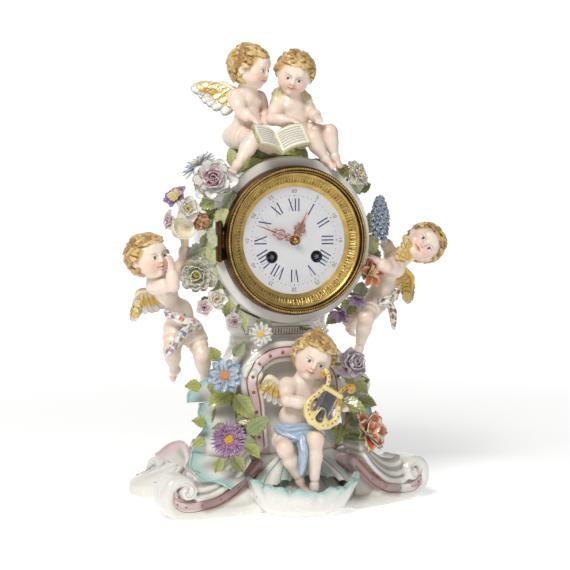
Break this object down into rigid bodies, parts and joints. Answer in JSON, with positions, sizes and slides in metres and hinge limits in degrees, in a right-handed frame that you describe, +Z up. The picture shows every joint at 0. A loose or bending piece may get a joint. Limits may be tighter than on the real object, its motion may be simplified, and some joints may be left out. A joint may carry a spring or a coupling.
{
  "type": "table clock",
  "caption": "Glazed porcelain figural table clock: drum case with cherubs and flowers on a scrolled base, glazed brass bezel, winding squares and pendulum movement.",
  "frame": {"origin": "centre of the base's footprint on the table", "axes": "+Z up, -Y towards the viewer of the dial, +X to the viewer's right"},
  "size_m": [0.282, 0.1744, 0.3827],
  "materials": {
    "porcelain": "glossy white glaze",
    "flesh": "glossy, painted flesh tones",
    "leaf_green": "glossy, painted",
    "pink_glaze": "glossy, painted",
    "blue_glaze": "glossy, painted",
    "orange_glaze": "glossy, painted",
    "purple_glaze": "glossy, painted",
    "yellow_glaze": "glossy, painted",
    "enamel": "smooth white enamel",
    "gilt_brass": "chased and gilt",
    "brass": "turned",
    "bell_metal": "polished",
    "steel": "satin",
    "copper_gilt": "copper-toned gilding",
    "clear_glass": "clear"
  },
  "bodies": {
    "case": {"plinth": "porcelain", "shell_basin": "porcelain", "pedestal": "porcelain", "base_leaves": "leaf_green", "drum_case": "porcelain", "drum_leaves": "leaf_green", "putto_reader": "flesh", "putto_listener": "flesh", "putto_left": "flesh", "putto_right": "flesh", "putto_lyre": "flesh", "music_book": "porcelain", "lyre": "yellow_glaze", "lyre_drapery": "blue_glaze", "sash_left": "porcelain", "sash_right": "porcelain", "flower_cup": "yellow_glaze", "bouquet_left": "pink_glaze", "rose_pink": "pink_glaze", "aster_blue": "blue_glaze", "mum_green": "yellow_glaze", "small_roses": "yellow_glaze", "waist_daisies": "porcelain", "blue_daisy": "blue_glaze", "purple_aster": "purple_glaze", "white_rose": "yellow_glaze", "hyacinth": "blue_glaze", "orange_lily": "orange_glaze", "bellflowers": "purple_glaze", "peony": "pink_glaze", "parrot_tulip": "orange_glaze", "dial_ring": "gilt_brass", "sight_ring": "gilt_brass", "bezel_hinge_pin": "brass", "dial": "enamel", "front_plate": "brass", "back_plate": "brass", "pillars": "brass", "going_barrel": "brass", "strike_barrel": "brass", "going_train": "brass", "strike_train": "brass", "suspension_cock": "brass", "bell": "bell_metal", "case_straps": "brass", "rear_ring": "brass", "case_bolt": "steel"},
    "bezel": {"bezel_ring": "gilt_brass", "bezel_glass": "clear_glass"},
    "minute": {"minute_hand": "copper_gilt", "cannon_pinion": "brass"},
    "hour": {"hour_hand": "copper_gilt", "hour_wheel": "brass"},
    "motion_wheel": {"minute_wheel": "brass"},
    "wind_going": {"going_arbor": "steel"},
    "wind_strike": {"strike_arbor": "steel"},
    "pendulum": {"anchor_crutch": "steel", "pendulum": "brass"},
    "hammer": {"hammer": "steel"},
    "rear_door": {"rear_door": "brass"}
  },
  "joints": [
    {"name": "bezel_hinge", "type": "hinge", "parent": "case", "child": "bezel", "pos_m": [-0.0636, -0.03694, 0.222], "axis": [0, 0, -1], "range_deg": [0, 75]},
    {"name": "minute_spin", "type": "hinge", "parent": "case", "child": "minute", "pos_m": [0, -0.04, 0.222], "axis": [0, 1, 0], "continuous": true},
    {"name": "hour_spin", "type": "hinge", "parent": "case", "child": "hour", "pos_m": [0, -0.037, 0.222], "axis": [0, 1, 0], "continuous": true},
    {"name": "motion_wheel_spin", "type": "hinge", "parent": "case", "child": "motion_wheel", "pos_m": [0, -0.023, 0.234], "axis": [0, 1, 0], "continuous": true},
    {"name": "wind_going_spin", "type": "hinge", "parent": "case", "child": "wind_going", "pos_m": [0.0193, -0.034, 0.2086], "axis": [0, 1, 0], "continuous": true},
    {"name": "wind_strike_spin", "type": "hinge", "parent": "case", "child": "wind_strike", "pos_m": [-0.0193, -0.034, 0.2086], "axis": [0, 1, 0], "continuous": true},
    {"name": "pendulum_swing", "type": "hinge", "parent": "case", "child": "pendulum", "pos_m": [0, 0.018, 0.256], "axis": [0, 1, 0], "range_deg": [-3, 3]},
    {"name": "hammer_lift", "type": "hinge", "parent": "case", "child": "hammer", "pos_m": [-0.03694, 0, 0.21204], "axis": [0, -1, 0], "range_deg": [0, 18], "stiffness_Nm_per_rad": 0.02, "springref_deg": -20.05},
    {"name": "rear_door_hinge", "type": "hinge", "parent": "case", "child": "rear_door", "pos_m": [0.0516, 0.0646, 0.222], "axis": [0, 0, -1], "range_deg": [0, 100]}
  ],
  "couplings": [
    {"joint": "hour_spin", "follows": "minute_spin", "ratio": 0.083333},
    {"joint": "motion_wheel_spin", "follows": "minute_spin", "ratio": -0.33333}
  ]
}
